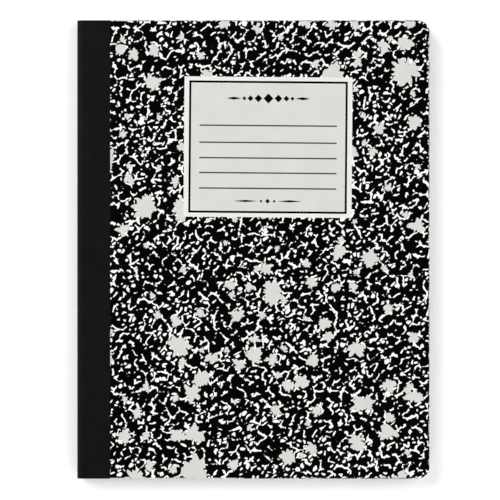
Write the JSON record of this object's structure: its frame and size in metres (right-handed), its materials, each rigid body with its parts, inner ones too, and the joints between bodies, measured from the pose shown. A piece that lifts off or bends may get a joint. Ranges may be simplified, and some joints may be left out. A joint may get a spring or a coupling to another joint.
{
  "type": "composition notebook",
  "caption": "Sewn composition notebook: ruled leaves in marbled board covers with round fore-edge corners, a black tape round the spine, and covers that swing open at creases beside it.",
  "frame": {"origin": "under the middle of the closed notebook, on the surface that it lies on", "axes": "+X from the spine to the fore edge, +Y from the tail to the head, +Z from the back cover to the front cover"},
  "size_m": [0.1906, 0.2476, 0.0108],
  "materials": {
    "marbled_board": "pressed board with a greyish white core, printed outside with a fine black and white marble under a satin varnish",
    "spine_cloth": "black embossed cloth tape with a satin coating",
    "page_paper": "uncoated white writing paper with blue rules and a red margin line",
    "thread": "white twisted cotton"
  },
  "bodies": {
    "book": {"pages": "page_paper", "sewing_thread": "thread", "spine_fold": "marbled_board", "spine_tape": "spine_cloth"},
    "front": {"front_cover": "marbled_board", "front_tape": "spine_cloth"},
    "back": {"back_cover": "marbled_board", "back_tape": "spine_cloth"}
  },
  "joints": [
    {"name": "front_hinge", "type": "hinge", "parent": "book", "child": "front", "pos_m": [-0.09125, 0, 0.0108], "axis": [0, -1, 0], "range_deg": [0, 180]},
    {"name": "back_hinge", "type": "hinge", "parent": "book", "child": "back", "pos_m": [-0.09125, 0, 0], "axis": [0, 1, 0], "range_deg": [0, 180]}
  ]
}
